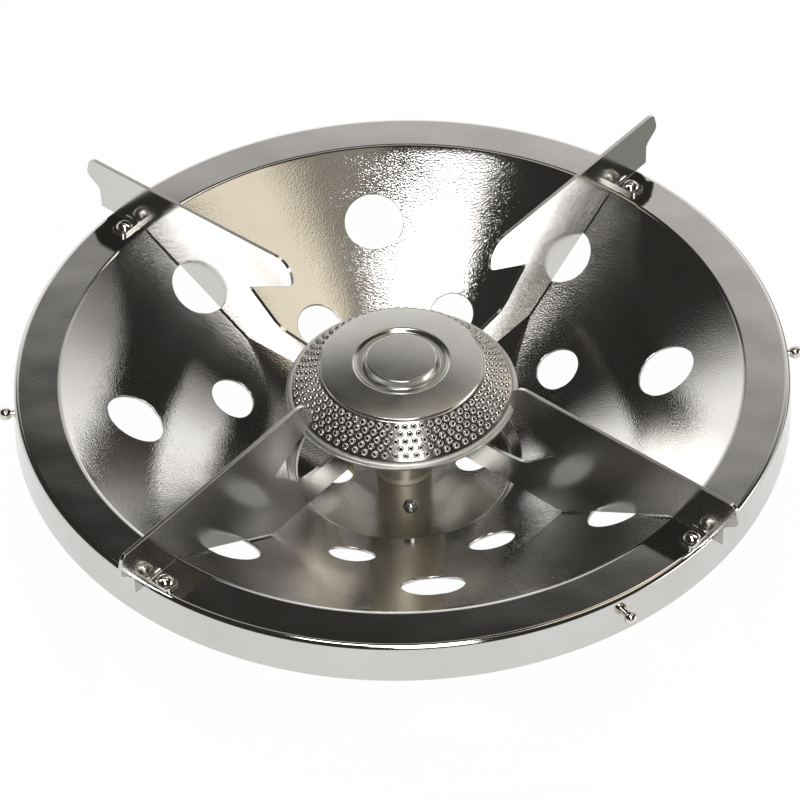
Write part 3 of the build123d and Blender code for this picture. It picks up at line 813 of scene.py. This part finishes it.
def buildKnob(spec):
    ring = spec["radius"] + spec["fluteRadius"] - spec["fluteDepth"]
    pitch = 2 * pi / spec["flutes"]

    def fluted(t):
        off = (t + pitch / 2) % pitch - pitch / 2
        inside = spec["fluteRadius"] ** 2 - (ring * sin(off)) ** 2
        return min(spec["radius"], ring * cos(off) - sqrt(inside)) if inside > 0 else spec["radius"]

    start, back, end, collar = spec["start"], spec["grip"], spec["end"], spec["collar"]
    rings = evenRings((spec["bore"], start), (collar - spec["collarEdge"], start),
                      (collar, start + spec["collarEdge"]), (collar, back))
    grip = [(inset, back + rise) for inset, rise in quarterRound(spec["backRound"], spec["backSteps"])][::-1]
    grip += [(inset, end - rise) for inset, rise in quarterRound(spec["endRound"], spec["endSteps"])]
    rings += [shapedRing(lambda t: fluted(t) - inset, lambda t: z) for inset, z in grip]
    rings += evenRings((spec["recess"] + spec["recessEdge"], end), (spec["recess"], end - spec["recessEdge"]),
                       (spec["recess"], spec["seat"]), (spec["screw"], spec["seat"]),
                       (spec["screw"], spec["boreEnd"]), (spec["bore"], spec["boreEnd"]))
    return ringStack(rings)


addMesh("flutedKnob", *moved(buildKnob(knobSpec), alongSpindle), phenolicPlastic, "black_plastic",
        body="tap_spindle", replaced=["knob"])
print("tap pieces built")


# Pieces that stay as they come from the frame take a finish only
nodeFinish = {
    "jet": heatedBrass, "valve_body": machinedBrass, "spindle": machinedBrass, "inlet_filter": sinteredBronze,
    "spindle_seal": nitrileRubber, "seat_pad": nitrileRubber, "knob_screw": headedChrome,
}
for nodeName, finish in nodeFinish.items():
    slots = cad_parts[nodeName].data.materials
    slots.clear()
    slots.append(finish)
print("frame pieces finished:", len(nodeFinish))


# Stage, in metres: a white floor, two grey cards on it (the one under the bowl is painted shade), and soft
# boxes that all face the burner
stageSpec = {
    "floor": {"half": 6.0, "z": -12.5 * mm, "paint": "#e7e7e7", "white": 1.03, "shade": 0.06,
              "mirrorShade": 0.14},
    "flags": [
        {"name": "sideFlag", "low": (0.14, 0.04), "high": (0.6, 0.45), "z": -12.3 * mm,
         "colour": "#b4b4b2", "glow": 0.0},
        # painted shade under the bowl for the metal to mirror, with a painted glow so that the underside
        # mirrors grey
        {"name": "paintedUnderShade", "low": (-0.085, -0.085), "high": (0.085, 0.085), "z": -12.3 * mm,
         "colour": "#8a8a88", "glow": 0.9},
    ],
    "aim": (0.0, 0.0, 0.04),
    "boxes": [
        {"name": "topBox", "at": (-0.135, -0.36, 1.5), "size": (0.67, 0.3), "glow": 9.0, "tint": "#ffffff"},
        {"name": "warmBox", "at": (0.78, -0.1, 1.62), "size": (0.8, 0.9), "glow": 1.25, "tint": "#f5ead3",
         "fade": 0.25},
        {"name": "dimBox", "at": (0.3, -0.22, 1.62), "size": (0.26, 0.6), "glow": 0.33, "tint": "#f0e6d4"},
        {"name": "nearBox", "at": (-0.13, -0.84, 1.5), "size": (0.3, 0.53), "glow": 3.4, "tint": "#ffffff"},
        {"name": "tanBox", "at": (0.105, -0.93, 1.5), "size": (0.18, 0.25), "glow": 1.05, "tint": "#f0e6d6"},
        {"name": "backBox", "at": (-0.15, 0.68, 1.5), "size": (0.9, 0.32), "glow": 0.65, "tint": "#f3ece0"},
        {"name": "cornerBox", "at": (0.6, 0.68, 1.5), "size": (0.6, 0.4), "glow": 1.7, "tint": "#f6ecdc"},
        {"name": "frontBox", "at": (0.05, -1.2, 1.15), "size": (0.5, 0.8), "glow": 4.4, "tint": "#ffffff"},
    ],
}


def layCard(name, low, high, z, material):
    mesh = bpy.data.meshes.new(name)
    (x0, y0), (x1, y1) = low, high
    mesh.from_pydata([(x0, y0, z), (x1, y0, z), (x1, y1, z), (x0, y1, z)], [], [[0, 1, 2, 3]])
    mesh.materials.append(material)
    card = bpy.data.objects.new(name, mesh)
    bpy.context.scene.collection.objects.link(card)
    return card


# The painted floor shows white to the camera and to mirrors, with a share of its real shade
def whiteFloor(spec):
    material, tree = startMaterial("paintedStudioFloor")
    path = addNode(tree, "ShaderNodeLightPath")
    shown = path.outputs["Is Camera Ray"]
    for ray in ("Is Glossy Ray", "Is Transmission Ray"):
        either = addNode(tree, "ShaderNodeMath", links={0: shown, 1: path.outputs[ray]}, operation="MAXIMUM")
        shown = either.outputs[0]
    paint = addNode(tree, "ShaderNodeBsdfDiffuse", {"Color": toLinear(spec["paint"])})
    glow = addNode(tree, "ShaderNodeEmission", {"Strength": spec["white"]})
    share = addNode(tree, "ShaderNodeMix", {2: spec["mirrorShade"], 3: spec["shade"]},
                    {0: path.outputs["Is Camera Ray"]}, data_type="FLOAT")
    shaded = addNode(tree, "ShaderNodeMixShader",
                     links={0: share.outputs[0], 1: glow.outputs[0], 2: paint.outputs[0]})
    both = addNode(tree, "ShaderNodeMixShader", links={0: shown, 1: paint.outputs[0], 2: shaded.outputs[0]})
    clear = addNode(tree, "ShaderNodeBsdfTransparent")
    under = addNode(tree, "ShaderNodeNewGeometry").outputs["Backfacing"]    # it doesn't hide the underside
    sided = addNode(tree, "ShaderNodeMixShader", links={0: under, 1: both.outputs[0], 2: clear.outputs[0]})
    addNode(tree, "ShaderNodeOutputMaterial", links={"Surface": sided.outputs[0]})
    half = spec["half"]
    floor = layCard("studioFloor", (-half, -half), (half, half), spec["z"], material)


# A grey card as photographers lay one: it greys what the metal mirrors of the floor. The card under the bowl
# is painted shade, standing in for the floor's shade beneath the stove, and its glow is painted light
def greyFlag(spec):
    material, tree = startMaterial(spec["name"] + "Card")
    paint = addNode(tree, "ShaderNodeBsdfDiffuse", {"Color": toLinear(spec["colour"])})
    # a glow above nought is painted light: the card shines though it is no lamp
    glow = addNode(tree, "ShaderNodeEmission", {"Color": toLinear(spec["colour"]), "Strength": spec["glow"]})
    both = addNode(tree, "ShaderNodeAddShader", links={0: paint.outputs[0], 1: glow.outputs[0]})
    addNode(tree, "ShaderNodeOutputMaterial", links={"Surface": both.outputs[0]})
    flag = layCard(spec["name"], spec["low"], spec["high"], spec["z"], material)
    flag.visible_camera = False
    flag.visible_shadow = False


# This soft box fades towards its sides, as cloth in front of a lamp does
def fadeSides(lamp, share):
    lamp.use_nodes = True
    tree = lamp.node_tree
    tree.nodes.clear()
    spot = addNode(tree, "ShaderNodeNewGeometry").outputs["Parametric"]
    place = addNode(tree, "ShaderNodeSeparateXYZ", links={0: spot})
    strength = None
    for axis in ("X", "Y"):
        for start, end in ((0.0, share), (1.0, 1.0 - share)):
            side = addNode(tree, "ShaderNodeMapRange", {"From Min": start, "From Max": end},
                           {"Value": place.outputs[axis]}, interpolation_type="SMOOTHSTEP")
            links = {0: side.outputs["Result"], **({1: strength} if strength else {})}
            strength = addNode(tree, "ShaderNodeMath", {1: 1.0}, links, operation="MULTIPLY").outputs[0]
    glow = addNode(tree, "ShaderNodeEmission", links={"Strength": strength})
    addNode(tree, "ShaderNodeOutputLight", links={"Surface": glow.outputs[0]})


whiteFloor(stageSpec["floor"])
for card in stageSpec["flags"]:
    greyFlag(card)
for box in stageSpec["boxes"]:
    lamp = bpy.data.lights.new(box["name"], "AREA")
    lamp.shape = "RECTANGLE"
    lamp.size, lamp.size_y = box["size"]
    lamp.energy = box["glow"] * pi * lamp.size * lamp.size_y    # watts that give this brightness
    lamp.color = toLinear(box["tint"])[:3]
    if "fade" in box:
        fadeSides(lamp, box["fade"])
    holder = bpy.data.objects.new(box["name"], lamp)
    holder.location = box["at"]
    toAim = Vector(stageSpec["aim"]) - Vector(box["at"])
    holder.rotation_euler = toAim.to_track_quat("-Z", "Y").to_euler()
    bpy.context.scene.collection.objects.link(holder)
print("stage lit")


# Room that the metal mirrors: dark, with a sweep of paper ahead, a bright wall at the right and a pale
# skyline where the floor ends. A signal is a smooth ramp (source, start, end, low, high), or the sum, product
# or greatest of earlier ones; across, ahead and up are directions
roomSpec = {
    "dark": "#2b2a28", "dusk": "#63605b", "low": "#fbfaf9", "high": "#bdbbb9", "skyline": "#d8d8d8",
    "strength": 1.45, "glare": 2.4,
    "signals": {
        "lean": ("across", -0.25, 0.45, 0.045, -0.045),
        "leaning": ("ADD", "up", "lean"),
        "sweepLeft": ("across", -0.68, -0.42, 0.0, 1.0),
        "sweepRight": ("across", 1.0, 0.62, 0.0, 1.0),
        "sweepAhead": ("ahead", 0.1, 0.4, 0.0, 1.0),
        "sweepTop": ("leaning", 0.735, 0.612, 0.0, 1.0),
        "sweep": ("MULTIPLY", "sweepLeft", "sweepRight", "sweepAhead", "sweepTop"),
        "wallSide": ("across", 0.8, 0.92, 0.0, 1.0),
        "wallEnd": ("ahead", 0.25, 0.05, 0.0, 1.0),
        "wallTop": ("up", 0.27, 0.21, 0.0, 1.0),
        "rightWall": ("MULTIPLY", "wallSide", "wallEnd", "wallTop"),
        "lit": ("MAXIMUM", "sweep", "rightWall"),
        "paperFade": ("up", 0.2, 0.6, 0.0, 1.0),
        "gloomFade": ("up", 0.1, 0.4, 0.0, 1.0),
        "skyline": ("up", 0.12, 0.08, 0.0, 1.0),
    },
}


def buildRoom(spec):
    world = bpy.data.worlds.new("dimStudio")
    bpy.context.scene.world = world
    world.use_nodes = True
    tree = world.node_tree
    tree.nodes.clear()
    gaze = addNode(tree, "ShaderNodeTexCoord").outputs["Generated"]
    level = addNode(tree, "ShaderNodeVectorMath", {1: (1.0, 1.0, 0.0)}, {0: gaze}, operation="MULTIPLY")
    compass = addNode(tree, "ShaderNodeVectorMath", links={0: level.outputs[0]}, operation="NORMALIZE")
    bearing = addNode(tree, "ShaderNodeSeparateXYZ", links={0: compass.outputs[0]}).outputs
    height = addNode(tree, "ShaderNodeSeparateXYZ", links={0: gaze}).outputs["Z"]
    signals = {"across": bearing["X"], "ahead": bearing["Y"], "up": height}
    for name, (first, *rest) in spec["signals"].items():
        if first in signals:
            limits = dict(zip(("From Min", "From Max", "To Min", "To Max"), rest))
            made = addNode(tree, "ShaderNodeMapRange", limits, {"Value": signals[first]},
                           interpolation_type="SMOOTHSTEP")
            signals[name] = made.outputs["Result"]
            continue
        signals[name] = signals[rest[0]]
        for other in rest[1:]:
            both = {0: signals[name], 1: signals[other]}
            signals[name] = addNode(tree, "ShaderNodeMath", links=both, operation=first).outputs[0]
    paper = addNode(tree, "ShaderNodeMix", {6: toLinear(spec["low"]), 7: toLinear(spec["high"])},
                    {0: signals["paperFade"]}, data_type="RGBA")
    gloom = addNode(tree, "ShaderNodeMix", {6: toLinear(spec["dusk"]), 7: toLinear(spec["dark"])},
                    {0: signals["gloomFade"]}, data_type="RGBA")
    walls = addNode(tree, "ShaderNodeMix",
                    links={0: signals["lit"], 6: gloom.outputs[2], 7: paper.outputs[2]}, data_type="RGBA")
    backdrop = addNode(tree, "ShaderNodeMix", {7: toLinear(spec["skyline"])},
                       {0: signals["skyline"], 6: walls.outputs[2]}, data_type="RGBA")
    power = addNode(tree, "ShaderNodeMath", {1: spec["glare"], 2: spec["strength"]},
                    {0: signals["rightWall"]}, operation="MULTIPLY_ADD")
    air = addNode(tree, "ShaderNodeBackground",
                  links={"Color": backdrop.outputs[2], "Strength": power.outputs[0]})
    addNode(tree, "ShaderNodeOutputWorld", links={"Surface": air.outputs[0]})


buildRoom(roomSpec)
print("room built")


# Camera: solved from the rim, the hole rings and the blades in the photograph
cameraSpec = {
    "focalPixels": 3873.0, "imagePixels": 800, "sensor": 36.0, "distance": 1000.0, "elevation": 43.41,
    "turn": 5.3, "roll": 1.53, "slide": (0.36, -9.39), "nearest": 0.05,
}


def placeCamera(spec):
    tilt, turn, roll = (radians(spec[key]) for key in ("elevation", "turn", "roll"))
    right, ahead = Vector((1, 0, 0)), Vector((0, cos(tilt), -sin(tilt)))
    down = ahead.cross(right)
    rows = [right * cos(roll) + down * sin(roll), down * cos(roll) - right * sin(roll), ahead]
    axes = Matrix([tuple(row) for row in rows]) @ Matrix.Rotation(turn, 3, "Z")
    shift = Vector((*spec["slide"], spec["distance"]))
    eye = -(axes.transposed() @ shift) + Vector((0, 0, rimZ))
    pose = Matrix((axes[0], -axes[1], -axes[2])).transposed().to_4x4()
    pose.translation = eye * mm
    camera = bpy.data.cameras.new("photoView")
    camera.sensor_width = spec["sensor"]
    camera.lens = spec["focalPixels"] / spec["imagePixels"] * spec["sensor"]
    camera.clip_start = spec["nearest"]
    holder = bpy.data.objects.new("photoView", camera)
    holder.matrix_world = pose
    bpy.context.scene.collection.objects.link(holder)
    bpy.context.scene.camera = holder


placeCamera(cameraSpec)
bpy.context.scene.view_settings.view_transform = "Standard"
